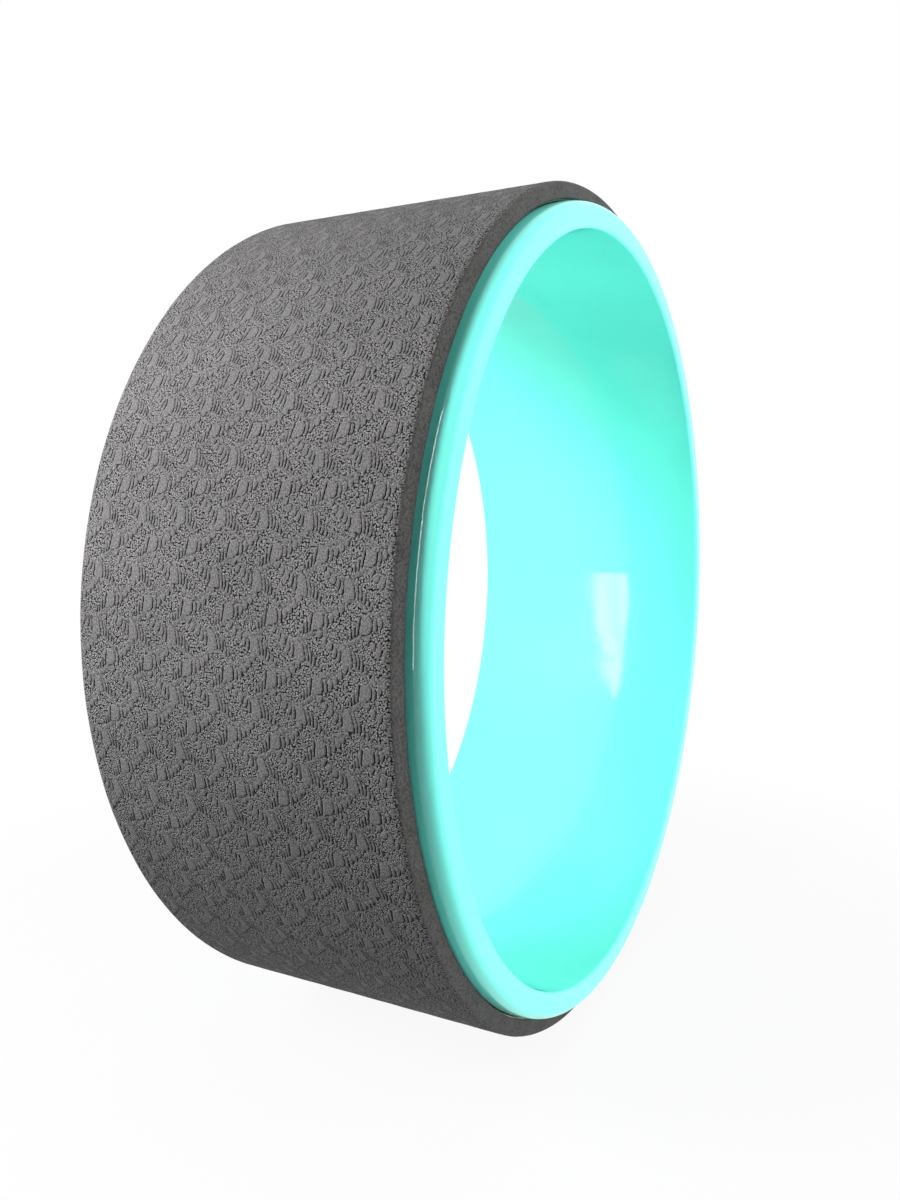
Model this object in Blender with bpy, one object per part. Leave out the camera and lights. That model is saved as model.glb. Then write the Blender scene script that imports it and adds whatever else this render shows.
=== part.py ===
"""Back roller wheel: a moulded plastic hoop with a strip of foam mat glued round it.

Lengths are metres. The origin is the wheel's centre, Y runs along its axis and Z is up, so the
wheel stands on its tread, and its two end faces look along -Y and +Y.
"""

import math

import bmesh
import bpy
from mathutils import Matrix, Vector

# Driving dimensions
WHEEL_RADIUS = 0.165  # to the tread, over the mat
HOOP_WIDTH = 0.128  # from end face to end face
HOOP_WALL = 0.010  # thickness of the hoop's plastic
LIP_WIDTH = 0.0065  # bare hoop that shows past each edge of the mat
MAT_THICKNESS = 0.006
ADHESIVE_THICKNESS = 0.0004
ADHESIVE_MARGIN = 0.0015  # from the mat's edge in to the adhesive's

# Roundings of the sections' corners
HOOP_OUTER_ROUNDING = 0.003
HOOP_INNER_ROUNDING = 0.0013
MAT_EDGE_ROUNDING = 0.001

# Clearances between faces that meet
BOND_CLEARANCE = 0.0003
SEAM_CLEARANCE = 0.0003

# Fineness of the turned shapes: flat facets round each ring, and steps round a corner
RING_FACETS = 96
CORNER_STEPS = 3

# The seam lies on the +X side, this many facets up from the facet that the wheel stands on
SEAM_FACETS_UP = 12

# Sizes that follow, from the tread inwards
MAT_WIDTH = HOOP_WIDTH - 2 * LIP_WIDTH
MAT_INNER_RADIUS = WHEEL_RADIUS - MAT_THICKNESS
ADHESIVE_WIDTH = MAT_WIDTH - 2 * ADHESIVE_MARGIN
ADHESIVE_OUTER_RADIUS = MAT_INNER_RADIUS - BOND_CLEARANCE
ADHESIVE_INNER_RADIUS = ADHESIVE_OUTER_RADIUS - ADHESIVE_THICKNESS
HOOP_OUTER_RADIUS = ADHESIVE_INNER_RADIUS - BOND_CLEARANCE
HOOP_INNER_RADIUS = HOOP_OUTER_RADIUS - HOOP_WALL

# Angles are about +Y from +X, so a quarter turn points straight down
FACET_ANGLE = 2 * math.pi / RING_FACETS
SEAM_ANGLE = math.pi / 2 - (SEAM_FACETS_UP + 0.5) * FACET_ANGLE
SEAM_HALF_GAP_ANGLE = SEAM_CLEARANCE / 2 / MAT_INNER_RADIUS
SHARP_EDGE_ANGLE = math.radians(40)


def clear_scene():
    """Remove every object, so that the script can run in any open file."""
    for old in list(bpy.data.objects):
        bpy.data.objects.remove(old, do_unlink=True)


def plastic_material(name, colour, roughness, specular):
    """A Principled material without metal, from a linear colour."""
    material = bpy.data.materials.new(name)
    material.use_nodes = True
    shader = material.node_tree.nodes["Principled BSDF"]
    shader.inputs["Base Color"].default_value = (*colour, 1.0)
    shader.inputs["Roughness"].default_value = roughness
    shader.inputs["Metallic"].default_value = 0.0
    shader.inputs["Specular IOR Level"].default_value = specular
    material.diffuse_color = (*colour, 1.0)
    return material


def ring_section(inner_radius, outer_radius, width, inner_rounding=0.0, outer_rounding=0.0):
    """The (radius, y) outline of a ring's section: a rectangle with its corners rounded.

    It runs once round the section from the outer corner at +Y. A rounding is limited to half of
    the wall that it lies on.
    """
    half_wall = (outer_radius - inner_radius) / 2
    corners = (
        (outer_radius, width / 2, outer_rounding),
        (inner_radius, width / 2, inner_rounding),
        (inner_radius, -width / 2, inner_rounding),
        (outer_radius, -width / 2, outer_rounding),
    )
    outline = []
    for quarter, (radius, y, rounding) in enumerate(corners):
        rounding = min(rounding, half_wall)
        steps = CORNER_STEPS if rounding > 0 else 0
        inward = -1 if radius == outer_radius else 1
        centre = Vector((radius + inward * rounding, y - math.copysign(rounding, y)))
        for step in range(steps + 1):
            angle = (quarter + step / max(steps, 1)) * math.pi / 2
            outline.append(centre + rounding * Vector((math.cos(angle), math.sin(angle))))
    return outline


def turned_mesh(name, outline, start_angle, sweep_angle=None):
    """Spin a section's outline about the wheel's axis, as a whole ring or as an open strip."""
    shape = bmesh.new()
    turn = Matrix.Rotation(start_angle, 3, "Y")
    corners = [shape.verts.new(turn @ Vector((point.x, point.y, 0.0))) for point in outline]
    whole_ring = sweep_angle is None
    if whole_ring:
        pairs = zip(corners, corners[1:] + corners[:1])
        section = [shape.edges.new(pair) for pair in pairs]
    else:
        section = [shape.faces.new(corners)]
    bmesh.ops.spin(
        shape,
        geom=corners + section,
        cent=(0, 0, 0),
        axis=(0, 1, 0),
        angle=2 * math.pi if whole_ring else sweep_angle,
        steps=RING_FACETS,
        use_merge=whole_ring,
    )
    bmesh.ops.recalc_face_normals(shape, faces=shape.faces)
    mesh = bpy.data.meshes.new(name)
    shape.to_mesh(mesh)
    shape.free()
    mesh.shade_smooth()
    mesh.set_sharp_from_angle(angle=SHARP_EDGE_ANGLE)
    return mesh


def add_piece(name, mesh, material, parent):
    """Link a mesh into the scene as one named piece of the wheel."""
    mesh.materials.append(material)
    piece = bpy.data.objects.new(name, mesh)
    piece.parent = parent
    bpy.context.scene.collection.objects.link(piece)
    return piece


def make_hoop(wheel):
    """The load-bearing ring: one glossy moulding with rounded rims, and a plain open bore."""
    outline = ring_section(
        HOOP_INNER_RADIUS,
        HOOP_OUTER_RADIUS,
        HOOP_WIDTH,
        inner_rounding=HOOP_INNER_ROUNDING,
        outer_rounding=min(HOOP_OUTER_ROUNDING, LIP_WIDTH),
    )
    mesh = turned_mesh("hoop", outline, SEAM_ANGLE)
    material = plastic_material("mint_abs", (0.13, 0.83, 0.70), roughness=0.12, specular=0.5)
    return add_piece("hoop", mesh, material, wheel)


def make_adhesive_film(wheel):
    """The film of contact adhesive that bonds the mat all the way round the hoop."""
    outline = ring_section(ADHESIVE_INNER_RADIUS, ADHESIVE_OUTER_RADIUS, ADHESIVE_WIDTH)
    mesh = turned_mesh("adhesive_film", outline, SEAM_ANGLE)
    material = plastic_material("cured_adhesive", (0.42, 0.37, 0.27), roughness=0.5, specular=0.4)
    return add_piece("adhesive_film", mesh, material, wheel)


def make_foam_mat(wheel):
    """The tread: one strip of foam mat laid once round the hoop, its two ends butted."""
    outline = ring_section(
        MAT_INNER_RADIUS, WHEEL_RADIUS, MAT_WIDTH, outer_rounding=MAT_EDGE_ROUNDING
    )
    mesh = turned_mesh(
        "foam_mat",
        outline,
        start_angle=SEAM_ANGLE + SEAM_HALF_GAP_ANGLE,
        sweep_angle=2 * math.pi - 2 * SEAM_HALF_GAP_ANGLE,
    )
    material = plastic_material("grey_tpe_foam", (0.11, 0.105, 0.10), roughness=0.85, specular=0.3)
    return add_piece("foam_mat", mesh, material, wheel)


def main():
    clear_scene()
    wheel = bpy.data.objects.new("wheel_centre", None)
    bpy.context.scene.collection.objects.link(wheel)
    make_hoop(wheel)
    make_adhesive_film(wheel)
    make_foam_mat(wheel)


main()
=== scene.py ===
"""A back roller wheel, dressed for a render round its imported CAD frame.

The glossy moulded hoop and the embossed foam mat are modelled here in full detail and stand for
the CAD's own, and the glue between them keeps its CAD shape and gets its finish. Lengths are in
metres: the wheel's centre is the origin, Y is its axis, and it stands on its tread with Z up.
The file is laid out as an add-on and is run as a script.
"""

import math

import bmesh
import bpy
import numpy as np
from bpy.props import FloatProperty, FloatVectorProperty, PointerProperty
from mathutils import Matrix, Vector


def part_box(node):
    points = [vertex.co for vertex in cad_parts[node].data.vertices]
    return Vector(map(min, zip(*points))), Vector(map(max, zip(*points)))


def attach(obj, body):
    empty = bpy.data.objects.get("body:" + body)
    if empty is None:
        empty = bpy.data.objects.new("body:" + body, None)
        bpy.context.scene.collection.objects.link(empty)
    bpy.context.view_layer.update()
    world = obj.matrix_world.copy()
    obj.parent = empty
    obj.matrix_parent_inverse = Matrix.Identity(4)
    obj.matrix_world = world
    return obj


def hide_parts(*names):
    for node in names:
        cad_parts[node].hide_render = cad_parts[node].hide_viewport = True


bl_info = {
    "name": "Back roller wheel",
    "version": (1, 0, 0),
    "blender": (4, 5, 0),
    "location": "3D View > Sidebar > Roller",
    "description": "Builds a back roller wheel: a moulded hoop, a glued foam mat and a studio",
    "category": "Object",
}

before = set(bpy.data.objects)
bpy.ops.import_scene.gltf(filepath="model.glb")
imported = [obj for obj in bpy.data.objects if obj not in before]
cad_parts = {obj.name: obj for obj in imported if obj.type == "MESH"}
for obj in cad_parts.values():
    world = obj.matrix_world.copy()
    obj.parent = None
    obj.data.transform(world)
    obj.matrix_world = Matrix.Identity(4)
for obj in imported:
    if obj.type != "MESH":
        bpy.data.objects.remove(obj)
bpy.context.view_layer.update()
HOOP_LOW, HOOP_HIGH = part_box("hoop")
MAT_LOW, MAT_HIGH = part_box("foam_mat")
GLUE_LOW, GLUE_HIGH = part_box("adhesive_film")

MM = 0.001


def linear(hex_colour):
    """The linear red, green and blue of an sRGB hex colour such as "#6fe9d9"."""
    channels = []
    for at in (1, 3, 5):
        value = int(hex_colour[at : at + 2], 16) / 255
        channels.append(value / 12.92 if value <= 0.04045 else ((value + 0.055) / 1.055) ** 2.4)
    return tuple(channels)


# The mat's emboss, in millimetres on the rolled-out mat: x runs across it towards the wheel's
# near edge and y runs along it, up the side that the camera sees. Every shape repeats on a
# lattice of two steps, because the pattern is rolled into the sheet.
EMBOSS_STEP_ACROSS = (15.36, -0.454)
EMBOSS_STEP_ALONG = (0.194, 17.829)
EMBOSS_ORIGIN = (9.985, 9.941)

# Flat plates, as outlines
EMBOSS_PLATES = (
    (
        (1.05, -2.1), (2.1, -1.95), (3.15, -1.95), (3.6, -2.9), (3.87, -4.0), (4.08, -5.0),
        (4.22, -6.0), (4.2, -6.75), (3.7, -7.05), (1.5, -6.95), (1.05, -6.5), (0.97, -5.8),
        (1.03, -4.6), (1.0, -3.4), (0.92, -2.7),
    ),
    (
        (-8.1, 6.95), (-6.6, 7.15), (-5.75, 6.75), (-5.28, 6.1), (-5.22, 4.9), (-5.26, 3.7),
        (-5.6, 3.05), (-6.3, 2.6), (-7.3, 2.25), (-8.5, 2.1), (-8.98, 2.45), (-8.76, 3.2),
        (-8.62, 4.1), (-8.42, 5.2), (-8.25, 6.2),
    ),
)

# Barbs and pebbles that lead away from a plate: top x, y, bottom x, y, sideways bow, width
EMBOSS_LEAVES = (
    (4.02, -2.15, 5.1, -7.05, 0.28, 0.72),
    (5.7, -3.45, 5.88, -7.45, 0.36, 0.60),
    (6.95, -5.05, 7.08, -7.95, 0.30, 0.58),
    (8.12, -6.55, 8.42, -8.55, 0.22, 0.55),
    (9.3, -8.3, 9.5, -9.3, 0.10, 0.50),
    (0.08, -2.45, -0.12, -5.85, 0.08, 0.80),
    (-1.35, -2.1, -1.65, -4.5, 0.20, 1.15),
    (-2.95, -0.9, -3.15, -2.9, 0.12, 1.60),
    (-4.7, 0.15, -4.85, -1.5, 0.05, 1.60),
    (-6.1, 1.55, -6.75, 0.65, 0.0, 1.75),
    (-9.08, 6.9, -9.78, 2.0, -0.14, 0.70),
    (-10.62, 4.45, -10.72, 1.25, -0.14, 0.66),
    (-11.75, 3.15, -11.78, 0.9, -0.10, 0.58),
    (-12.72, 2.1, -12.8, 0.95, -0.05, 0.50),
    (-4.38, 6.45, -4.25, 3.25, 0.14, 0.82),
    (-2.75, 6.8, -2.8, 4.4, 0.16, 1.15),
    (-1.1, 7.75, -1.1, 5.95, 0.12, 1.60),
    (0.45, 8.95, 0.5, 7.5, 0.05, 1.70),
    (1.5, -7.35, 2.35, -7.95, 0.0, 1.45),
)

# Low double rims that hang between two plates like the edge of a scale
EMBOSS_RIMS = (
    (
        (-6.0, 2.1), (-4.6, 1.4), (-3.2, 0.2), (-1.75, -1.15), (0.5, -1.5), (3.0, -0.85),
        (4.6, 0.05), (6.4, 1.1), (7.2, 1.9),
    ),
    ((-2.2, -1.5), (-0.8, -1.95), (1.6, -1.9), (3.6, -1.2), (5.3, -0.1), (7.0, 0.8), (8.2, 1.4)),
    (
        (-11.4, 11.4), (-9.6, 10.5), (-8.0, 9.4), (-6.3, 7.75), (-4.4, 7.3), (-2.8, 7.75),
        (-1.2, 8.75), (0.2, 9.7), (1.6, 10.6),
    ),
    ((-10.0, 11.1), (-8.3, 9.9), (-6.9, 8.5), (-5.2, 7.75), (-3.4, 8.1), (-1.8, 9.1)),
)

# A rim is a round bead along its line, drawn as discs at this spacing
RIM_RADIUS = 0.16
RIM_DISC_SPACING = 0.12
LEAF_DISCS = 25

# A side rises from its foot, this far outside the shape, to its top, this far inside
RIM_SIDE = (0.10, -0.06)
SHAPE_SIDE = (0.06, -0.08)

# Grains fill the scales between the plates, in rows that are closer than the grains in a row
EMBOSS_GRAIN_SPACING = 0.82
EMBOSS_GRAIN_RADIUS = (0.24, 0.38)
GRAIN_ROW_SHARE = 0.87
GRAIN_JITTER = 0.24

# A shape's side towards the far edge slopes up gently, and a line is pressed in along its other
# side, where the roller drags the warm foam. The foam's colour also paints this line dark, as
# painted shade.
EMBOSS_RAMP = 0.50
EMBOSS_DRAG = (0.46, -0.16)
DRAG_STEPS = 10
RIM_DRAG_SHARE = 0.6

# Heights of the parts of the emboss, as shares of its full depth
PLATE_HEIGHT = 1.0
LEAF_HEIGHT = 0.96
RIM_HEIGHT = 0.85
GROUND_HEIGHT = 0.62
GRAIN_HEIGHT = (0.08, 0.34)

TILE_CELLS_PER_MM = 20
# The distance that stands for no shape near, and how far round a shape distances are kept
NO_SHAPE = 9.0
SHAPE_REACH = 0.8

# The radius, in millimetres, on which the pattern's steps were measured
PATTERN_RADIUS = 165.0

# The photograph's camera, solved from the outlines of the hoop and the mat. Its focal length and
# shifts are in the photograph's pixels
PHOTO_HEIGHT = 1200
FOCAL_LENGTH = 936.69
LENS_SHIFT = (-17.43, 2.37)
CAMERA_PLACE = (-0.36926, -0.18117, 0.04571)
CAMERA_RIGHT = (0.447061, -0.894503, 0.0)
CAMERA_UP = (0.096479, 0.048219, 0.994166)
SENSOR_HEIGHT = 36.0

# Points closer than this are in the same place
TOUCHING = 1e-6


def curve_through(corners, rounds=2):
    """Cut the corners of an open line of points until it runs smoothly."""
    points = np.array(corners, float)
    for _ in range(rounds):
        before = points[:-1] * 0.75 + points[1:] * 0.25
        after = points[:-1] * 0.25 + points[1:] * 0.75
        between = np.stack([before, after], axis=1).reshape(-1, 2)
        points = np.vstack([points[:1], between, points[-1:]])
    return points


def evenly_along(points, spacing):
    """Points at an even spacing along a line, for a bead of discs to follow."""
    lengths = np.hypot(*np.diff(points, axis=0).T)
    travelled = np.concatenate([[0.0], np.cumsum(lengths)])
    count = max(int(travelled[-1] / spacing), 2)
    at = np.linspace(0.0, travelled[-1], count)
    return np.stack([np.interp(at, travelled, points[:, axis]) for axis in (0, 1)], axis=1)


def soft_step(low, high, value):
    """0 below low, 1 above high, and an even S-shaped rise between them."""
    share = np.clip((value - low) / (high - low), 0.0, 1.0)
    return share * share * (3 - 2 * share)


class EmbossTile:
    """One repeat of the emboss as a field of heights, which wraps round at its edges."""

    def __init__(self):
        self.steps = np.array([EMBOSS_STEP_ACROSS, EMBOSS_STEP_ALONG])
        self.to_cell = np.linalg.inv(self.steps)
        self.shape = (
            round(EMBOSS_STEP_ACROSS[0] * TILE_CELLS_PER_MM),
            round(EMBOSS_STEP_ALONG[1] * TILE_CELLS_PER_MM),
        )
        self.solid_gap = np.full(self.shape, NO_SHAPE)
        self.rim_gap = np.full(self.shape, NO_SHAPE)
        self.press()

    def window(self, low, high):
        """Wrapped tile indices round a box in millimetres, and where each of them lies."""
        corners = np.array([(x, y) for x in (low[0], high[0]) for y in (low[1], high[1])])
        cells = corners @ self.to_cell * self.shape
        first = np.floor(cells.min(axis=0)).astype(int)
        last = np.ceil(cells.max(axis=0)).astype(int)
        across = np.arange(first[0], last[0] + 1)
        along = np.arange(first[1], last[1] + 1)
        share = np.stack(np.meshgrid(across, along, indexing="ij"), axis=-1) / self.shape
        places = share @ self.steps
        return np.ix_(across % self.shape[0], along % self.shape[1]), places

    def stamp_discs(self, gap, centres, radii):
        """Lower a gap field to the distance from the rims of a bead of discs."""
        low = (centres - radii[:, None]).min(axis=0) - SHAPE_REACH
        high = (centres + radii[:, None]).max(axis=0) + SHAPE_REACH
        index, places = self.window(low, high)
        nearest = gap[index]
        for centre, radius in zip(centres, radii):
            away = np.hypot(places[..., 0] - centre[0], places[..., 1] - centre[1])
            nearest = np.minimum(nearest, away - radius)
        gap[index] = nearest

    def stamp_outline(self, gap, outline):
        """Lower a gap field to the distance from an outline, which is negative inside it."""
        corners = np.array(outline)
        low = corners.min(axis=0) - SHAPE_REACH
        index, places = self.window(low, corners.max(axis=0) + SHAPE_REACH)
        distance = np.full(places.shape[:2], NO_SHAPE)
        inside = np.zeros(places.shape[:2], bool)
        for start, end in zip(corners, np.roll(corners, -1, axis=0)):
            run = end - start
            from_start = places - start
            share = np.clip((from_start @ run) / (run @ run), 0.0, 1.0)
            offset = from_start - share[..., None] * run
            distance = np.minimum(distance, np.hypot(offset[..., 0], offset[..., 1]))
            rises = (start[1] > places[..., 1]) != (end[1] > places[..., 1])
            slope = run[0] / (run[1] if run[1] else 1e-9)
            inside ^= rises & (places[..., 0] < start[0] + (places[..., 1] - start[1]) * slope)
        gap[index] = np.minimum(gap[index], np.where(inside, -distance, distance))

    def stamp_leaf(self, top_x, top_y, bottom_x, bottom_y, bow, width):
        """A barb or pebble: discs along a bowed line, narrowing at both of its ends."""
        along = np.linspace(0.0, 1.0, LEAF_DISCS)
        top = np.array((top_x, top_y))
        bottom = np.array((bottom_x, bottom_y))
        line = top + (bottom - top) * along[:, None]
        line[:, 0] += bow * 4 * along * (1 - along)
        fullness = (1 - np.abs(2 * along - 1) ** 2.6) ** 0.5
        radii = np.maximum(width / 2 * fullness, 0.05)
        length = np.hypot(*(bottom - top))
        if length < width * 1.6:
            # A stub this short is a pebble
            line = top + (bottom - top) * (0.3 + 0.4 * along[:, None])
            radii = np.full(LEAF_DISCS, max(width, length) * 0.44)
        self.stamp_discs(self.solid_gap, line, radii)

    def press(self):
        """Draw every shape of the pattern into the height field, from its grains up."""
        for outline in EMBOSS_PLATES:
            self.stamp_outline(self.solid_gap, outline)
        plate_gap = self.solid_gap.copy()
        for leaf in EMBOSS_LEAVES:
            self.stamp_leaf(*leaf)
        for corners in EMBOSS_RIMS:
            line = evenly_along(curve_through(corners), RIM_DISC_SPACING)
            self.stamp_discs(self.rim_gap, line, np.full(len(line), RIM_RADIUS))
        rims = soft_step(*RIM_SIDE, self.rim_gap)
        leaves = soft_step(*SHAPE_SIDE, self.solid_gap)
        plates = soft_step(*SHAPE_SIDE, plate_gap)
        height = GROUND_HEIGHT + self.grain_field()
        height = np.maximum(height * (1 - rims), RIM_HEIGHT * rims)
        height = np.maximum(height * (1 - leaves), LEAF_HEIGHT * leaves)
        height = self.ramped(np.maximum(height, PLATE_HEIGHT * plates))
        beside_rims = RIM_DRAG_SHARE * self.dragged(rims) * (1 - leaves)
        line = np.maximum(self.dragged(leaves), beside_rims)
        self.height = height * (1 - line)
        self.grainy = soft_step(-0.05, 0.10, np.minimum(self.solid_gap, self.rim_gap))
        self.grainy = self.grainy * (1 - line)

    def dragged(self, shapes):
        """Where a line is pressed in beside shapes, on their side towards the near edge."""
        trail = np.zeros(self.shape)
        for step in range(1, DRAG_STEPS + 1):
            moved = np.array(EMBOSS_DRAG) * step / DRAG_STEPS * TILE_CELLS_PER_MM
            cells = tuple(np.rint(moved).astype(int))
            trail = np.maximum(trail, np.roll(shapes, cells, axis=(0, 1)))
        return trail * (1 - shapes)

    def ramped(self, height):
        """The heights with a ramp up to each shape from the side of the mat's far edge."""
        result = height.copy()
        for cells in range(1, round(EMBOSS_RAMP * TILE_CELLS_PER_MM) + 1):
            drop = cells / (EMBOSS_RAMP * TILE_CELLS_PER_MM)
            result = np.maximum(result, np.roll(height, -cells, axis=0) - drop)
        return result

    def grain_field(self):
        """Rounded grains in uneven rows, clear of the plates, leaves and rims."""
        chance = np.random.default_rng(11)
        row_spacing = EMBOSS_GRAIN_SPACING * GRAIN_ROW_SHARE
        rows = round(EMBOSS_STEP_ALONG[1] / row_spacing / 2) * 2
        columns = round(EMBOSS_STEP_ACROSS[0] / EMBOSS_GRAIN_SPACING)
        field = np.zeros(self.shape)
        for row in range(rows):
            for column in range(columns):
                jitter = chance.uniform(-GRAIN_JITTER, GRAIN_JITTER, 2)
                share = np.array((column + 0.5 * (row % 2) + jitter[0], row + jitter[1]))
                place = (share / (columns, rows)) @ self.steps
                radius = chance.uniform(*EMBOSS_GRAIN_RADIUS)
                height = chance.uniform(*GRAIN_HEIGHT)
                index, places = self.window(place - radius - 0.1, place + radius + 0.1)
                away = np.hypot(places[..., 0] - place[0], places[..., 1] - place[1])
                bump = height * soft_step(radius + 0.05, radius * 0.25, away)
                field[index] = np.maximum(field[index], bump)
        return field

    def sample(self, field, across, along):
        """A field's values at places in millimetres, read smoothly between its cells."""
        places = np.stack([across, along], axis=-1) - EMBOSS_ORIGIN
        cells = (places @ self.to_cell) * self.shape
        low = np.floor(cells).astype(int)
        share = cells - low
        rows = [low[..., 0] % self.shape[0], (low[..., 0] + 1) % self.shape[0]]
        columns = [low[..., 1] % self.shape[1], (low[..., 1] + 1) % self.shape[1]]
        value = 0.0
        for row, row_share in zip(rows, (1 - share[..., 0], share[..., 0])):
            for column, column_share in zip(columns, (1 - share[..., 1], share[..., 1])):
                value = value + field[row, column] * row_share * column_share
        return value


def add_node(tree, kind, links=None, stops=(), **settings):
    """Add a shader node, set its properties and sockets, and link what feeds it.

    A setting names a property, or else an input socket with its spaces as underscores. Links
    map an input's name or number to the output socket that feeds it. Stops are the positions
    and linear colours along a colour ramp.
    """
    node = tree.nodes.new(kind)
    sockets = {}
    for name, value in settings.items():
        if hasattr(node, name):
            setattr(node, name, value)
        else:
            sockets[name] = value
    for name, value in sockets.items():
        node.inputs[name.replace("_", " ")].default_value = value
    for _ in stops[2:]:
        node.color_ramp.elements.new(0.5)
    for stop, (position, colour) in enumerate(stops):
        node.color_ramp.elements[stop].position = position
        node.color_ramp.elements[stop].color = (*colour, 1.0)
    for target, source in (links or {}).items():
        tree.links.new(source, node.inputs[target])
    return node


def new_material(name):
    """A node material with its shader and output, and its coordinates in object space."""
    material = bpy.data.materials.new(name)
    material.use_nodes = True
    tree = material.node_tree
    shader = tree.nodes["Principled BSDF"]
    coordinates = add_node(tree, "ShaderNodeTexCoord")
    mapping = add_node(tree, "ShaderNodeMapping", {"Vector": coordinates.outputs["Object"]})
    return material, tree, shader, mapping.outputs["Vector"]


def seen_rays(tree):
    """1 for what the eye sees straight, mirrored or through glass, and 0 for matt light."""
    rays = add_node(tree, "ShaderNodeLightPath")
    seen = rays.outputs["Is Camera Ray"]
    for name in ("Is Glossy Ray", "Is Transmission Ray"):
        seen = add_node(
            tree, "ShaderNodeMath", {0: seen, 1: rays.outputs[name]}, operation="MAXIMUM"
        ).outputs["Value"]
    return seen


def scaled(colour, share):
    """A linear colour made lighter or darker by a share."""
    return tuple(min(channel * share, 1.0) for channel in colour)


def moulded_abs(colour):
    """Gloss ABS, injection moulded: an even, saturated mint with a wet-looking shine.

    The mould leaves a faint orange peel that softens reflections and turning marks round the
    ring that streak them, the pigment drifts slightly over the ring, and handling leaves
    hairline scuffs that show only in the shine.
    """
    material, tree, shader, place = new_material("gloss_moulded_abs")
    drift = add_node(tree, "ShaderNodeTexNoise", {"Vector": place}, Scale=14.0, Detail=2.0)
    tint = add_node(
        tree, "ShaderNodeValToRGB", {"Fac": drift.outputs["Fac"]},
        stops=((0.3, scaled(colour, 0.955)), (0.5, colour), (0.7, scaled(colour, 1.035))),
    )
    tree.links.new(tint.outputs["Color"], shader.inputs["Base Color"])
    peel = add_node(
        tree, "ShaderNodeTexNoise", {"Vector": place}, Scale=160.0, Detail=1.5, Roughness=0.4
    )
    sag = add_node(tree, "ShaderNodeTexNoise", {"Vector": place}, Scale=22.0, Detail=1.0)
    scuffs = add_node(
        tree, "ShaderNodeTexNoise", {"Vector": place}, Scale=55.0, Detail=6.0, Roughness=0.75
    )
    shine = add_node(
        tree, "ShaderNodeMapRange", {"Value": scuffs.outputs["Fac"]},
        From_Min=0.42, From_Max=0.75, To_Min=0.05, To_Max=0.11,
    )
    tree.links.new(shine.outputs["Result"], shader.inputs["Roughness"])
    wide = add_node(
        tree, "ShaderNodeBump", {"Height": sag.outputs["Fac"]}, Strength=1.0, Distance=0.00004
    )
    axes = add_node(tree, "ShaderNodeSeparateXYZ", {"Vector": place})
    marks = add_node(
        tree, "ShaderNodeTexNoise", {"W": axes.outputs["Y"]},
        noise_dimensions="1D", Scale=1 / (3.5 * MM), Detail=2.0,
    )
    turned = add_node(
        tree,
        "ShaderNodeBump",
        {"Height": marks.outputs["Fac"], "Normal": wide.outputs["Normal"]},
        Strength=1.0,
        Distance=0.000012,
    )
    fine = add_node(
        tree,
        "ShaderNodeBump",
        {"Height": peel.outputs["Fac"], "Normal": turned.outputs["Normal"]},
        Strength=0.25,
        Distance=0.00005,
    )
    tree.links.new(fine.outputs["Normal"], shader.inputs["Normal"])
    # A little below solid ABS, because the photograph mirrors its bright room only weakly
    shader.inputs["IOR"].default_value = 1.48
    return material


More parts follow.
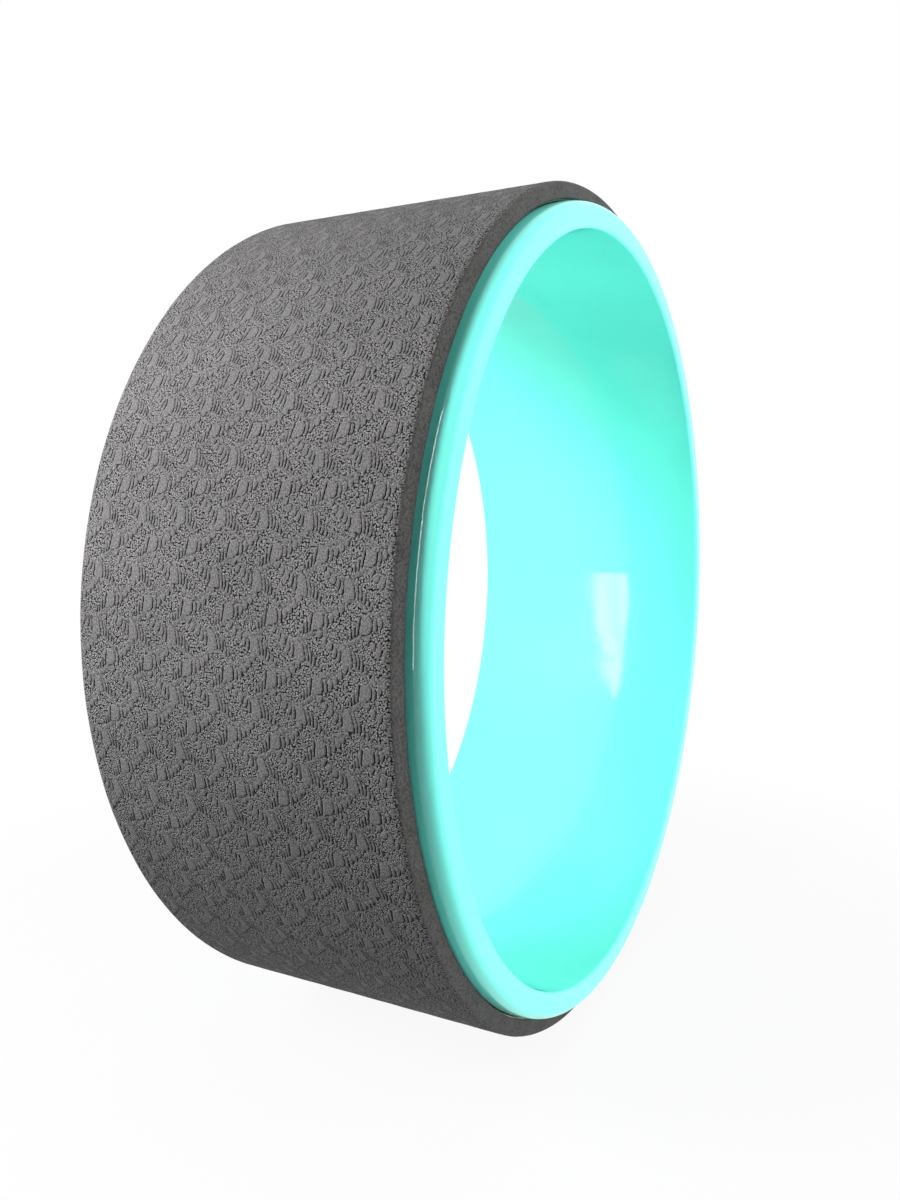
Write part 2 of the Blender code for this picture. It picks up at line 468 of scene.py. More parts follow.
def embossed_foam(colour):
    """TPE foam mat: a matt, slightly rubbery grey skin with the emboss rolled into it.

    The plates keep a smooth satin skin and the scales between them are finely grained. The
    hollows are painted darker as painted shade, and so are the gaps between the grains, which are
    partly dark pores too. The grains are drawn 0.57 mm across and the specks 0.5 mm, about the
    finest that the picture can show.
    """
    material, tree, shader, place = new_material("embossed_tpe_foam")
    relief = add_node(tree, "ShaderNodeAttribute", attribute_name="relief")
    grainy = add_node(tree, "ShaderNodeAttribute", attribute_name="grainy")
    blotches = add_node(tree, "ShaderNodeTexNoise", {"Vector": place}, Scale=28.0, Detail=4.0)
    skin = add_node(
        tree, "ShaderNodeValToRGB", {"Fac": blotches.outputs["Fac"]},
        stops=((0.32, scaled(colour, 0.92)), (0.68, scaled(colour, 1.08))),
    )
    # The low places of the relief, the pressed lines most of all, are painted darker as painted
    # shade
    hollow_painted_shade = add_node(
        tree, "ShaderNodeMapRange", {"Value": relief.outputs["Fac"]}, From_Min=0.12, From_Max=0.50
    )
    rolled_out = add_node(tree, "ShaderNodeAttribute", attribute_name="rolled_out")
    speck = add_node(
        tree, "ShaderNodeTexNoise", {"Vector": rolled_out.outputs["Vector"]},
        noise_dimensions="2D", Scale=1 / 0.5, Detail=1.5, Roughness=0.6,
    )
    mottle = add_node(
        tree, "ShaderNodeMapRange", {"Value": speck.outputs["Fac"]},
        From_Min=0.28, From_Max=0.72, To_Min=0.48, To_Max=1.52,
    )
    grains = add_node(
        tree, "ShaderNodeTexVoronoi", {"Vector": rolled_out.outputs["Vector"]},
        voronoi_dimensions="2D", Scale=1 / 0.57, Randomness=0.9,
    )
    # The gaps between the grains, where their bump is low, are painted dark: partly dark pores,
    # partly painted shade
    pore_and_gap_shade = add_node(
        tree, "ShaderNodeMapRange", {"Value": grains.outputs["Distance"]},
        From_Min=0.32, From_Max=0.66, To_Min=1.26, To_Max=0.02,
    )
    pitted = add_node(
        tree, "ShaderNodeMix", {0: grainy.outputs["Fac"], 3: pore_and_gap_shade.outputs["Result"]},
        data_type="FLOAT", A=0.86,
    )
    specked = add_node(
        tree, "ShaderNodeMath", {0: pitted.outputs["Result"], 1: mottle.outputs["Result"]},
        operation="MULTIPLY",
    )
    shade = add_node(
        tree, "ShaderNodeMath", {0: hollow_painted_shade.outputs["Result"], 1: specked.outputs["Value"]},
        operation="MULTIPLY",
    )
    tread = add_node(
        tree, "ShaderNodeVectorMath", {0: skin.outputs["Color"], "Scale": shade.outputs["Value"]},
        operation="SCALE",
    )
    tree.links.new(tread.outputs["Vector"], shader.inputs["Base Color"])
    grain_height = add_node(
        tree, "ShaderNodeMath", {0: grains.outputs["Distance"], 1: grainy.outputs["Fac"]},
        operation="MULTIPLY",
    )
    grain_bump = add_node(
        tree, "ShaderNodeBump", {"Height": grain_height.outputs["Value"]},
        invert=True, Strength=1.0, Distance=0.00032,
    )
    skin_bump = add_node(
        tree, "ShaderNodeBump",
        {"Height": speck.outputs["Fac"], "Normal": grain_bump.outputs["Normal"]},
        Strength=0.6, Distance=0.00008,
    )
    tree.links.new(skin_bump.outputs["Normal"], shader.inputs["Normal"])
    gloss = add_node(
        tree, "ShaderNodeMapRange", {"Value": grainy.outputs["Fac"]}, To_Min=0.58, To_Max=0.66
    )
    tree.links.new(gloss.outputs["Result"], shader.inputs["Roughness"])
    shader.inputs["IOR"].default_value = 1.5
    shader.inputs["Specular IOR Level"].default_value = 0.06
    return material


def cut_foam(colour):
    """TPE foam where a knife cut the sheet: browner than its skin, dull and open-celled.

    The cells are about 0.3 mm across on the real sheet, too fine to show, and drawn at 0.75 mm.
    """
    material, tree, shader, place = new_material("knife_cut_tpe_foam")
    cells = add_node(tree, "ShaderNodeTexVoronoi", {"Vector": place}, Scale=1 / (0.75 * MM))
    streaks = add_node(tree, "ShaderNodeTexNoise", {"Vector": place}, Scale=120.0, Detail=4.0)
    face = add_node(
        tree, "ShaderNodeValToRGB", {"Fac": cells.outputs["Distance"]},
        stops=((0.10, scaled(colour, 1.3)), (0.42, colour), (0.80, scaled(colour, 0.6))),
    )
    patchy = add_node(
        tree, "ShaderNodeMapRange", {"Value": streaks.outputs["Fac"]},
        From_Min=0.3, From_Max=0.7, To_Min=0.85, To_Max=1.15,
    )
    tint = add_node(
        tree,
        "ShaderNodeVectorMath",
        {0: face.outputs["Color"], "Scale": patchy.outputs["Result"]},
        operation="SCALE",
    )
    tree.links.new(tint.outputs["Vector"], shader.inputs["Base Color"])
    bump = add_node(
        tree, "ShaderNodeBump", {"Height": cells.outputs["Distance"]},
        invert=True, Strength=0.7, Distance=0.00012,
    )
    tree.links.new(bump.outputs["Normal"], shader.inputs["Normal"])
    shader.inputs["Roughness"].default_value = 0.85
    shader.inputs["Specular IOR Level"].default_value = 0.3
    return material


def dried_glue(colour):
    """Contact adhesive, brushed on and cured: an amber, rubbery film with brush marks."""
    material, tree, shader, place = new_material("cured_contact_adhesive")
    smears = add_node(tree, "ShaderNodeTexNoise", {"Vector": place}, Scale=90.0, Detail=5.0)
    tint = add_node(
        tree, "ShaderNodeValToRGB", {"Fac": smears.outputs["Fac"]},
        stops=((0.3, scaled(colour, 0.6)), (0.55, colour), (0.75, scaled(colour, 1.3))),
    )
    tree.links.new(tint.outputs["Color"], shader.inputs["Base Color"])
    bump = add_node(
        tree, "ShaderNodeBump", {"Height": smears.outputs["Fac"]}, Strength=0.5, Distance=0.0002
    )
    tree.links.new(bump.outputs["Normal"], shader.inputs["Normal"])
    wet = add_node(
        tree, "ShaderNodeMapRange", {"Value": smears.outputs["Fac"]}, To_Min=0.35, To_Max=0.6
    )
    tree.links.new(wet.outputs["Result"], shader.inputs["Roughness"])
    return material


def smooth_mesh(shape, name):
    """Make a smoothly shaded mesh of a finished shape."""
    mesh = bpy.data.meshes.new(name)
    shape.to_mesh(mesh)
    shape.free()
    mesh.shade_smooth()
    return mesh


def add_object(name, mesh, material=None):
    """Link a mesh into the scene as an object at the origin."""
    if material:
        mesh.materials.append(material)
    piece = bpy.data.objects.new(name, mesh)
    bpy.context.scene.collection.objects.link(piece)
    return piece


class RollerHoopSettings(bpy.types.PropertyGroup):
    """Sizes and colour of the moulded hoop."""

    outer_radius: FloatProperty(
        name="Outer radius",
        description="From the axis to the hoop's outer wall, under the mat",
        default=HOOP_HIGH.z,
        unit="LENGTH",
    )
    width: FloatProperty(
        name="Width",
        description="From one end face of the hoop to the other",
        default=HOOP_HIGH.y - HOOP_LOW.y,
        unit="LENGTH",
    )
    wall: FloatProperty(
        name="Wall",
        description="Thickness of the hoop's plastic",
        default=0.010,
        unit="LENGTH",
    )
    outer_rounding: FloatProperty(
        name="Outer rounding",
        description="How far the bare lips round down to the end faces",
        default=0.003,
        unit="LENGTH",
    )
    lip_width: FloatProperty(
        name="Lip width",
        description="How far in from the end face the outer rounding starts",
        default=0.0048,
        unit="LENGTH",
    )
    inner_rounding: FloatProperty(
        name="Inner rounding",
        description="Radius of the rim's inner corners",
        default=0.0013,
        unit="LENGTH",
    )
    colour: FloatVectorProperty(
        name="Colour",
        description="Colour of the hoop's plastic",
        subtype="COLOR",
        default=linear("#73f6e6"),
        min=0.0,
        max=1.0,
    )


class RollerMatSettings(bpy.types.PropertyGroup):
    """Sizes and colours of the embossed foam mat."""

    tread_radius: FloatProperty(
        name="Tread radius",
        description="From the axis to the tops of the mat's emboss",
        default=MAT_HIGH.z,
        unit="LENGTH",
    )
    inner_radius: FloatProperty(
        name="Inner radius",
        description="From the axis to the mat's glued face",
        default=GLUE_HIGH.z + 0.0001,
        unit="LENGTH",
    )
    width: FloatProperty(
        name="Width",
        description="Across the mat, from cut edge to cut edge",
        default=MAT_HIGH.y - MAT_LOW.y,
        unit="LENGTH",
    )
    edge_rounding: FloatProperty(
        name="Edge rounding",
        description="Radius of the mat's outer corners",
        default=0.0018,
        unit="LENGTH",
    )
    cut_lean: FloatProperty(
        name="Cut lean",
        description="How far the knife's cut leans in from the glued face to the outer corner",
        default=0.0006,
        unit="LENGTH",
    )
    seam_angle: FloatProperty(
        name="Seam angle",
        description="Where the mat's two ends meet, below the +X side",
        default=math.radians(43.125),
        subtype="ANGLE",
    )
    seam_gap: FloatProperty(
        name="Seam gap",
        description="Opening between the mat's two butted ends",
        default=0.0003,
        unit="LENGTH",
    )
    emboss_depth: FloatProperty(
        name="Emboss depth",
        description="From the tops of the plates down to the hollows between them",
        default=0.00022,
        unit="LENGTH",
    )
    colour: FloatVectorProperty(
        name="Colour",
        description="Colour of the mat's skin",
        subtype="COLOR",
        default=linear("#595858"),
        min=0.0,
        max=1.0,
    )
    cut_colour: FloatVectorProperty(
        name="Cut colour",
        description="Colour of the foam where the sheet was cut",
        subtype="COLOR",
        default=linear("#474645"),
        min=0.0,
        max=1.0,
    )


class RollerGlueSettings(bpy.types.PropertyGroup):
    """Colour of the adhesive film."""

    colour: FloatVectorProperty(
        name="Colour",
        description="Colour of the cured adhesive",
        subtype="COLOR",
        default=linear("#ada48c"),
        min=0.0,
        max=1.0,
    )


class RollerStageSettings(bpy.types.PropertyGroup):
    """Floor, surroundings and lamps."""

    floor_colour: FloatVectorProperty(
        name="Floor colour",
        description="Colour of the studio floor",
        subtype="COLOR",
        default=linear("#b4b4b4"),
        min=0.0,
        max=1.0,
    )
    floor_whiteness: FloatProperty(
        name="Floor whiteness",
        description="How far the floor near the wheel is washed out to white, which thins shadows",
        default=0.93,
        min=0.0,
        max=1.0,
    )
    surround: FloatProperty(
        name="Surroundings",
        description="Strength of the room's own soft light on matt surfaces",
        default=0.0,
        min=0.0,
    )
    left_power: FloatProperty(
        name="Left power",
        description="Power of the narrow softbox behind on the left, which skims across the tread",
        default=5.2,
        unit="POWER",
    )
    window_power: FloatProperty(
        name="Window power",
        description="Power of the left pane of the window that the bore reflects",
        default=1.0,
        unit="POWER",
    )
    front_power: FloatProperty(
        name="Front power",
        description="Power of the raised softbox in front, which lights the rim and the bore",
        default=1.6,
        unit="POWER",
    )
    low_front_power: FloatProperty(
        name="Low front power",
        description="Power of the softbox near the floor in front, which lights the bore's top",
        default=4.1,
        unit="POWER",
    )
    right_power: FloatProperty(
        name="Right power",
        description="Power of the high softbox on the right, which lights the bore's left side",
        default=2.2,
        unit="POWER",
    )


class ROLLER_OT_hoop(bpy.types.Operator):
    """Build the load-bearing ring of glossy plastic, with rounded rims and a plain bore"""

    bl_idname = "roller.hoop"
    bl_label = "Hoop"

    ring_steps = 360
    outer_steps = 9
    inner_steps = 6
    # A loop this close beside each rounding keeps the flat walls' reflections straight
    support_margin = 0.25 * MM

    def execute(self, context):
        sizes = context.scene.roller_hoop
        shape = self.square_ring(sizes)
        self.round_rims(shape, sizes, True, sizes.outer_rounding, self.outer_steps)
        self.round_rims(shape, sizes, False, sizes.inner_rounding, self.inner_steps)
        self.slope_lips(shape, sizes)
        walls = [face for face in shape.faces if not 0.001 < abs(face.normal.y) < 0.999]
        bmesh.ops.inset_region(
            shape, faces=walls, thickness=self.support_margin, use_even_offset=True
        )
        bmesh.ops.recalc_face_normals(shape, faces=shape.faces)
        mesh = smooth_mesh(shape, "moulded_hoop")
        hoop = add_object("moulded_hoop", mesh, moulded_abs(tuple(sizes.colour)))
        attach(hoop, "root")
        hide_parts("hoop")
        return {"FINISHED"}

    def square_ring(self, sizes):
        """The hoop's wall as an oblong section, turned round the axis."""
        shape = bmesh.new()
        corners = []
        for y in (-sizes.width / 2, sizes.width / 2):
            for radius in (sizes.outer_radius - sizes.wall, sizes.outer_radius):
                corners.append(shape.verts.new((radius, y, 0.0)))
        order = (corners[0], corners[1], corners[3], corners[2])
        section = [shape.edges.new(pair) for pair in zip(order, order[1:] + order[:1])]
        bmesh.ops.spin(
            shape, geom=list(order) + section, cent=(0, 0, 0), axis=(0, 1, 0),
            angle=2 * math.pi, steps=self.ring_steps, use_merge=True,
        )
        bmesh.ops.remove_doubles(shape, verts=shape.verts, dist=TOUCHING)
        return shape

    def round_rims(self, shape, sizes, outer, rounding, steps):
        """Round the outer or the inner edge of both end faces."""
        rims = []
        for edge in shape.edges:
            ends = [vertex.co for vertex in edge.verts]
            radii = [math.hypot(end.x, end.z) for end in ends]
            level = abs(ends[0].y - ends[1].y) < TOUCHING
            runs_round = level and abs(radii[0] - radii[1]) < TOUCHING
            on_end_face = abs(abs(ends[0].y) - sizes.width / 2) < TOUCHING
            if runs_round and on_end_face and (radii[0] > self.middle(sizes)) == outer:
                rims.append(edge)
        bmesh.ops.bevel(
            shape, geom=rims, offset=rounding, offset_type="OFFSET", segments=steps,
            profile=0.5, affect="EDGES", material=-1,
        )

    def slope_lips(self, shape, sizes):
        """Draw the outer rounding out across the lip, which slopes gently down to the rim."""
        for vertex in shape.verts:
            depth = sizes.width / 2 - abs(vertex.co.y)
            rounded = depth < sizes.outer_rounding + TOUCHING
            if rounded and math.hypot(vertex.co.x, vertex.co.z) > self.middle(sizes):
                drawn = sizes.width / 2 - depth * sizes.lip_width / sizes.outer_rounding
                vertex.co.y = math.copysign(drawn, vertex.co.y)

    def middle(self, sizes):
        """The radius halfway through the hoop's wall."""
        return sizes.outer_radius - sizes.wall / 2


class ROLLER_OT_foam_mat(bpy.types.Operator):
    """Build the strip of foam mat that is wrapped once round the hoop, with its emboss"""

    bl_idname = "roller.foam_mat"
    bl_label = "Foam mat"

    column_width = 0.27 * MM
    row_length = 0.50 * MM
    cut_points = 8
    rounding_points = 8
    # The emboss runs out to plain grain of a middling height near the mat's edges
    edge_margin = 0.5 * MM
    pattern_margin = 2.4 * MM
    edge_height = 0.7
    # Only what lies less deep than this below the tread is pressed by the emboss
    emboss_reach = 0.5 * MM
    # The hand-laid mat sinks in by up to the sag, apart from the foam beside the glue
    sag = 0.1 * MM
    sagging_depth = 4.9 * MM
    # How far the cut edges wander in, as a share of their distance from the middle
    edge_wander = 0.0016
    # The pattern piece is cut into bands side by side, with a margin round each, and the hidden
    # glued face is squeezed to a small share of its width there
    bands = 3
    band_margin = 0.004
    hidden_share = 0.05

    def execute(self, context):
        sizes = context.scene.roller_mat
        radius, y, side = self.section(sizes)
        length = sizes.tread_radius * 2 * math.pi - sizes.seam_gap
        rows = round(length / self.row_length)
        mesh, column, row = self.closed_strip(len(radius) - 1, rows)
        seam = sizes.seam_angle - math.pi
        angle = seam + (sizes.seam_gap / 2 + length * row / rows) / sizes.tread_radius
        height, grainy = self.emboss(y[column], angle)
        depth = sizes.tread_radius - radius[column]
        from_edge = sizes.width / 2 - sizes.cut_lean - np.abs(y[column])
        whole = soft_step(self.edge_margin, self.pattern_margin, from_edge)
        height = height * whole + self.edge_height * (1 - whole)
        grainy = grainy * whole + 1 - whole
        skin = soft_step(0.0, self.edge_margin, from_edge) * (depth < self.emboss_reach)
        reach = radius[column] + (height - 1) * sizes.emboss_depth * skin
        reach = reach - self.unevenness(angle, y[column]) * (depth < self.sagging_depth)
        away = y[column] * (1 - self.edge_wander * self.edge_drift(angle, y[column]))
        places = np.stack([-reach * np.cos(angle), away, reach * np.sin(angle)], axis=-1)
        mesh.vertices.foreach_set("co", places.astype(np.float32).ravel())
        # The material paints the low places of this relief darker, as painted shade
        self.mark(mesh, "relief", 1 - (1 - height) * skin)
        self.mark(mesh, "grainy", grainy * skin)
        self.mark_rolled_out(mesh, -y[column] / MM, angle * sizes.tread_radius / MM)
        self.lay_out(mesh, column, row, rows, side)
        mesh.update()
        mesh.materials.append(embossed_foam(tuple(sizes.colour)))
        mesh.materials.append(cut_foam(tuple(sizes.cut_colour)))
        self.finish_cut_faces(mesh, from_edge < self.edge_margin)
        mat = add_object("embossed_mat", mesh)
        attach(mat, "root")
        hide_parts("foam_mat")
        return {"FINISHED"}

    def section(self, sizes):
        """The mat's section, round from the middle of its glued face and back to it.

        It gives each point's radius, its y, and how far it lies along a pattern piece on which
        the hidden glued face takes up little room.
        """
        half = sizes.width / 2
        rounding = sizes.edge_rounding
        shoulder = sizes.tread_radius - rounding
        points = [(sizes.inner_radius, 0.0), (sizes.inner_radius, half * 0.7)]
        for share in np.linspace(0.0, 1.0, self.cut_points):
            rise = (shoulder - sizes.inner_radius) * share
            points.append((sizes.inner_radius + rise, half - sizes.cut_lean * share))
        corner = half - sizes.cut_lean - rounding
        for turn in np.linspace(0.0, math.pi / 2, self.rounding_points)[1:]:
            away = rounding * math.cos(turn)
            points.append((shoulder + rounding * math.sin(turn), corner + away))
        columns = round(corner / self.column_width)
        for share in np.linspace(1.0, 0.0, columns + 1)[1:]:
            points.append((sizes.tread_radius, corner * share))
        points = np.array(points)
        points = np.vstack([points, points[-2::-1] * (1, -1)])
        steps = np.hypot(*np.diff(points, axis=0).T)
        hidden = np.maximum(points[1:, 0], points[:-1, 0]) < sizes.inner_radius + TOUCHING
        steps = np.where(hidden, steps * self.hidden_share, steps)
        return points[:, 0], points[:, 1], np.concatenate([[0.0], np.cumsum(steps)])

    def closed_strip(self, columns, rows):
        """A long tube of quads with closed ends, and each vertex's column and row in it."""
        shape = bmesh.new()
        bmesh.ops.create_grid(shape, x_segments=columns, y_segments=rows, size=1.0)
        sides = [vertex for vertex in shape.verts if abs(vertex.co.x) > 1 - 0.5 / columns]
        for vertex in sides:
            vertex.co.x = 1.0
        bmesh.ops.remove_doubles(shape, verts=sides, dist=0.1 / rows)
        ends = [edge for edge in shape.edges if edge.is_boundary]
        bmesh.ops.holes_fill(shape, edges=ends, sides=0)
        mesh = smooth_mesh(shape, "embossed_mat")
        flat = np.zeros(len(mesh.vertices) * 3)
        mesh.vertices.foreach_get("co", flat)
        flat = flat.reshape(-1, 3)
        column = np.rint((flat[:, 0] + 1) / 2 * columns).astype(int)
        row = np.rint((flat[:, 1] + 1) / 2 * rows).astype(int)
        return mesh, column, row

    def emboss(self, y, angle):
        """The pattern's height, from 0 to 1, and how grainy it is at each vertex."""
        tile = EmbossTile()
        across = -y / MM
        along = angle * PATTERN_RADIUS
        height = tile.sample(tile.height, across, along)
        grainy = tile.sample(tile.grainy, across, along)
        return height, grainy

    def unevenness(self, angle, y):
        """How far the hand-laid mat sinks below its full radius."""
        waves = np.sin(angle * 7 + 0.4) + np.sin(angle * 17 + y * 60) + np.sin(angle * 29 - y * 90)
        return self.sag * (0.5 + waves / 6)

    def edge_drift(self, angle, y):
        """How far each cut edge wanders in from straight, from 0 to 1."""
        waves = np.sin(angle * 5 + 1.0) + np.sin(angle * 13) + np.sin(angle * 31 + 2.0)
        return np.where(y > 0, 0.5 + waves / 6, 0.5 - waves / 6)

    def mark(self, mesh, name, values):
        """Store a value on each vertex for the material to read."""
        layer = mesh.attributes.new(name, "FLOAT", "POINT")
        layer.data.foreach_set("value", values.astype(np.float32))

    def mark_rolled_out(self, mesh, across, along):
        """Store where each vertex lies on the rolled-out sheet, in millimetres."""
        places = np.stack([across, along, np.zeros(len(across))], axis=-1)
        layer = mesh.attributes.new("rolled_out", "FLOAT_VECTOR", "POINT")
        layer.data.foreach_set("vector", places.astype(np.float32).ravel())

    def face_corners(self, mesh):
        """Each face corner's vertex, and where every face's corners start and how many it has."""
        corners = np.zeros(len(mesh.loops), int)
        mesh.loops.foreach_get("vertex_index", corners)
        starts = np.zeros(len(mesh.polygons), int)
        mesh.polygons.foreach_get("loop_start", starts)
        return corners, starts, np.diff(np.append(starts, len(corners)))

    def finish_cut_faces(self, mesh, cut):
        """Give the cut foam's material to the faces along the cut edges and at the seam."""
        corners, starts, totals = self.face_corners(mesh)
        whole = np.logical_and.reduceat(cut[corners], starts)
        whole |= totals > 4
        mesh.polygons.foreach_set("material_index", whole.astype(np.int32))

    def lay_out(self, mesh, column, row, rows, side):
        """Lay the strip out as a pattern piece, cut into bands that fill a square."""
        corners, starts, totals = self.face_corners(mesh)
        first_row = np.repeat(np.minimum.reduceat(row[corners], starts), totals)
        first_column = np.repeat(np.minimum.reduceat(column[corners], starts), totals)
        wraps = (column[corners] == len(side) - 1) & (first_column == 1)
        across = np.where(wraps, 0.0, side[column[corners]] / side[-1])
        share = row[corners] / rows * self.bands
        band = np.minimum((first_row / rows * self.bands + 1e-9).astype(int), self.bands - 1)
        margin = self.band_margin
        u = (band + margin + across * (1 - 2 * margin)) / self.bands
        v = margin + (share - band) * (1 - 2 * margin)
        layer = mesh.uv_layers.new(name="OFBake")
        layer.data.foreach_set("uv", np.stack([u, v], axis=-1).astype(np.float32).ravel())


class ROLLER_OT_adhesive(bpy.types.Operator):
    """Give the film of contact adhesive between the hoop and the mat its finish"""

    bl_idname = "roller.adhesive"
    bl_label = "Adhesive film"

    def execute(self, context):
        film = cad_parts["adhesive_film"]
        material = dried_glue(tuple(context.scene.roller_glue.colour))
        film.data.materials.clear()
        film.data.materials.append(material)
        return {"FINISHED"}


class ROLLER_OT_stage(bpy.types.Operator):
    """Set the pale floor, the soft studio light and the camera"""

    bl_idname = "roller.stage"
    bl_label = "Studio"

    floor_radius = 6.0
    # The wheel's faint shadow on the floor fades out to plain white between these distances
    shadow_reach = (0.17, 0.45)

    def execute(self, context):
        stage = context.scene.roller_stage
        self.lay_floor(stage)
        self.light_room(context.scene, stage)
        self.place_lamps(stage)
        self.set_camera(context.scene)
        context.scene.view_settings.view_transform = "Standard"
        return {"FINISHED"}

    def place_lamps(self, stage):
        """Soft lamps for the matt surfaces, and the panes of a window for the gloss.

        Angles are in degrees and lengths in metres. The panes' shares of the window's power keep
        them about equally bright for their sizes.
        """
        for name, azimuth, elevation, distance, width, height, lean, power in (
            ("left_softbox", 153, 25, 0.5, 0.13, 0.25, 0, stage.left_power),
            ("front_softbox", -105, 36, 0.6, 0.25, 0.25, 0, stage.front_power),
            ("low_front_softbox", -88, -6, 0.74, 0.42, 0.10, 0, stage.low_front_power),
            ("high_right_softbox", -30, 60, 0.6, 0.30, 0.25, 0, stage.right_power),
            ("window_left_pane", 159.9, 5, 1.124, 0.036, 0.81, 0, stage.window_power),
            ("window_right_pane", 162.3, 5, 1.124, 0.040, 0.81, 0, stage.window_power * 1.3),
            ("window_top_pane", 158.6, 37.8, 1.165, 0.060, 0.52, 5.2, stage.window_power * 1.14),
        ):
            size = (width, height)
            lamp = self.add_softbox(name, azimuth, elevation, distance, size, lean, power)
            # Only the window shows in the gloss, and it adds no light of its own
            lamp.visible_glossy = name.startswith("window")
            lamp.visible_diffuse = not lamp.visible_glossy

    def lay_floor(self, stage):
        """A wide, matt, pale floor under the tread."""
        shape = bmesh.new()
        bmesh.ops.create_circle(shape, cap_ends=True, segments=96, radius=self.floor_radius)
        bmesh.ops.translate(shape, verts=shape.verts, vec=(0.0, 0.0, MAT_LOW.z))
        mesh = smooth_mesh(shape, "studio_floor")
        material, tree, shader, place = new_material("matt_vinyl_backdrop")
        drift = add_node(tree, "ShaderNodeTexNoise", {"Vector": place}, Scale=3.0, Detail=2.0)
        colour = tuple(stage.floor_colour)
        tint = add_node(
            tree, "ShaderNodeValToRGB", {"Fac": drift.outputs["Fac"]},
            stops=((0.3, scaled(colour, 0.99)), (0.7, colour)),
        )
        tree.links.new(tint.outputs["Color"], shader.inputs["Base Color"])
        shader.inputs["Roughness"].default_value = 0.9
        shader.inputs["Specular IOR Level"].default_value = 0.1
        distance = add_node(tree, "ShaderNodeVectorMath", {0: place}, operation="LENGTH")
        far = add_node(
            tree, "ShaderNodeMapRange", {"Value": distance.outputs["Value"]},
            interpolation_type="SMOOTHSTEP", To_Min=stage.floor_whiteness,
            From_Min=self.shadow_reach[0], From_Max=self.shadow_reach[1],
        )
        white = add_node(tree, "ShaderNodeEmission", Strength=1.0)
        shown = add_node(
            tree, "ShaderNodeMath", {0: far.outputs["Result"], 1: seen_rays(tree)},
            operation="MULTIPLY",
        )
        mixed = add_node(
            tree,
            "ShaderNodeMixShader",
            {0: shown.outputs["Value"], 1: shader.outputs["BSDF"], 2: white.outputs["Emission"]},
        )
        tree.links.new(
            mixed.outputs["Shader"], tree.nodes["Material Output"].inputs["Surface"]
        )
        add_object("studio_floor", mesh, material)

    def light_room(self, scene, stage):
        """Soft light from all round, which shows as plain white to eye and reflection."""
        world = bpy.data.worlds.new("white_studio")
        world.use_nodes = True
        tree = world.node_tree
        tree.nodes.clear()
        seen = seen_rays(tree)
        fill = add_node(
            tree, "ShaderNodeBackground", Color=(1.0, 1.0, 1.0, 1.0), Strength=stage.surround
        )
        white = add_node(tree, "ShaderNodeBackground", Color=(1.0, 1.0, 1.0, 1.0), Strength=1.0)
        mixed = add_node(
            tree,
            "ShaderNodeMixShader",
            {0: seen, 1: fill.outputs["Background"], 2: white.outputs["Background"]},
        )
        add_node(tree, "ShaderNodeOutputWorld", {"Surface": mixed.outputs["Shader"]})
        scene.world = world

    def add_softbox(self, name, azimuth, elevation, distance, size, lean, power):
        """A rectangular lamp that faces the wheel from a compass direction, unseen itself."""
        lamp = bpy.data.lights.new(name, "AREA")
        lamp.shape = "RECTANGLE"
        lamp.size, lamp.size_y = size
        lamp.energy = power
        softbox = bpy.data.objects.new(name, lamp)
        rise = math.radians(elevation)
        turn = math.radians(azimuth)
        away = Vector(
            (math.cos(rise) * math.cos(turn), math.cos(rise) * math.sin(turn), math.sin(rise))
        )
        facing = (-away).to_track_quat("-Z", "Y").to_matrix().to_4x4()
        facing @= Matrix.Rotation(math.radians(lean), 4, "Z")
        softbox.matrix_world = Matrix.Translation(away * distance) @ facing
        softbox.visible_camera = False
        bpy.context.scene.collection.objects.link(softbox)
        return softbox

    def set_camera(self, scene):
        """The photograph's own view."""
        lens = bpy.data.cameras.new("photo_camera")
        lens.sensor_fit = "VERTICAL"
        lens.sensor_height = SENSOR_HEIGHT
        lens.lens = FOCAL_LENGTH / PHOTO_HEIGHT * SENSOR_HEIGHT
        lens.shift_x, lens.shift_y = (shift / PHOTO_HEIGHT for shift in LENS_SHIFT)
        lens.clip_end = 50.0
        camera = bpy.data.objects.new("photo_camera", lens)
        right = Vector(CAMERA_RIGHT)
        up = Vector(CAMERA_UP)
        turn = Matrix((right, up, right.cross(up))).transposed().to_4x4()
        camera.matrix_world = Matrix.Translation(CAMERA_PLACE) @ turn
        scene.collection.objects.link(camera)
        scene.camera = camera


class ROLLER_PT_panel(bpy.types.Panel):
    """Lists the wheel's pieces, sizes and colours"""

    bl_idname = "ROLLER_PT_panel"
    bl_label = "Back roller wheel"
    bl_space_type = "VIEW_3D"
    bl_region_type = "UI"
    bl_category = "Roller"

    def draw(self, context):
        for operator, settings in STEPS:
            box = self.layout.box()
            group = getattr(context.scene, settings)
            for name in group.bl_rna.properties.keys():
                if name not in ("rna_type", "name"):
                    box.prop(group, name)
            box.operator(operator)


STEPS = (
    ("roller.hoop", "roller_hoop"),
    ("roller.foam_mat", "roller_mat"),
    ("roller.adhesive", "roller_glue"),
    ("roller.stage", "roller_stage"),
)

CLASSES = (
    RollerHoopSettings,
    RollerMatSettings,
    RollerGlueSettings,
    RollerStageSettings,
    ROLLER_OT_hoop,
    ROLLER_OT_foam_mat,
    ROLLER_OT_adhesive,
    ROLLER_OT_stage,
    ROLLER_PT_panel,
)


def register():
    for each in CLASSES:
        bpy.utils.register_class(each)
    bpy.types.Scene.roller_hoop = PointerProperty(type=RollerHoopSettings)
    bpy.types.Scene.roller_mat = PointerProperty(type=RollerMatSettings)
    bpy.types.Scene.roller_glue = PointerProperty(type=RollerGlueSettings)
    bpy.types.Scene.roller_stage = PointerProperty(type=RollerStageSettings)


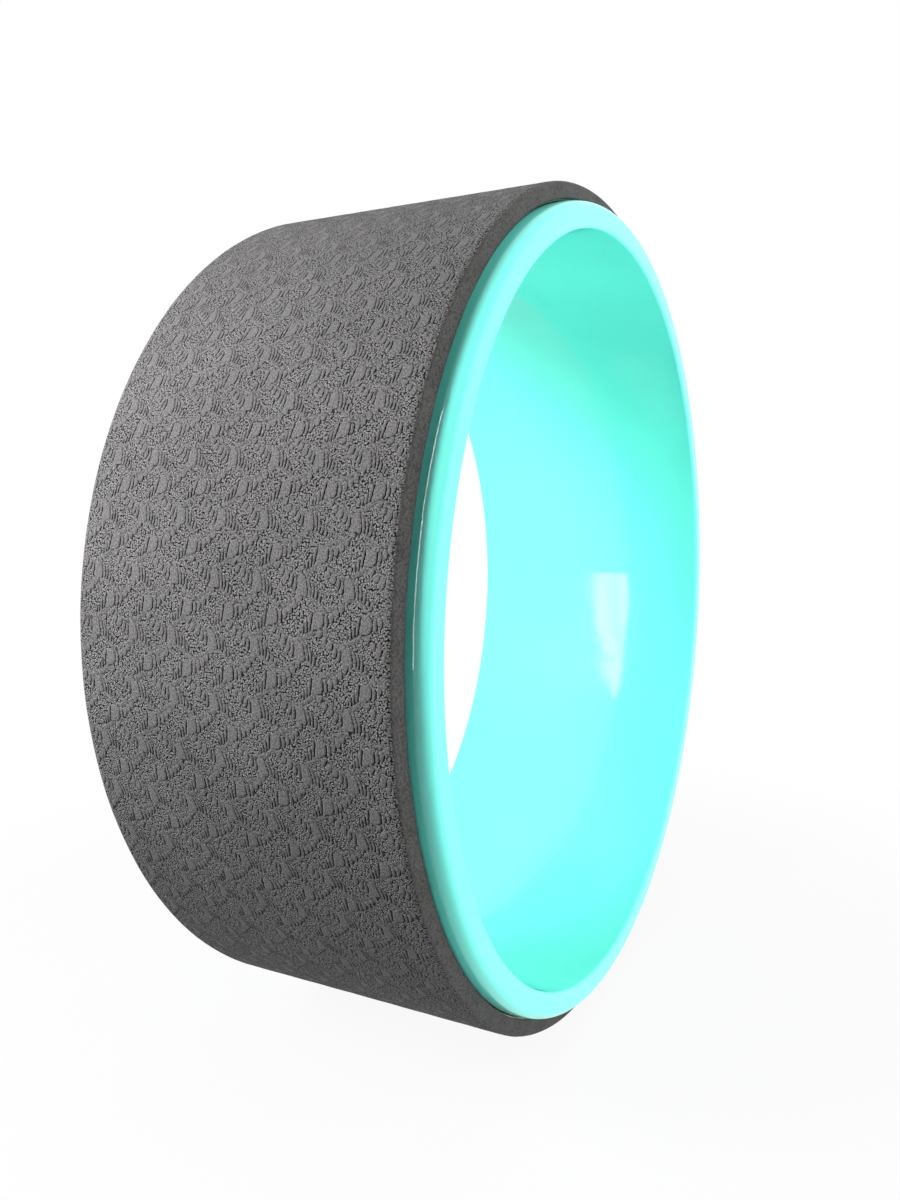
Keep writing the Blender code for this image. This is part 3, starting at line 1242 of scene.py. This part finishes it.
def unregister():
    del bpy.types.Scene.roller_stage
    del bpy.types.Scene.roller_glue
    del bpy.types.Scene.roller_mat
    del bpy.types.Scene.roller_hoop
    for each in reversed(CLASSES):
        bpy.utils.unregister_class(each)


def main():
    """Build every piece in order."""
    register()
    bpy.ops.roller.hoop()
    bpy.ops.roller.foam_mat()
    bpy.ops.roller.adhesive()
    bpy.ops.roller.stage()


if __name__ == "__main__":
    main()
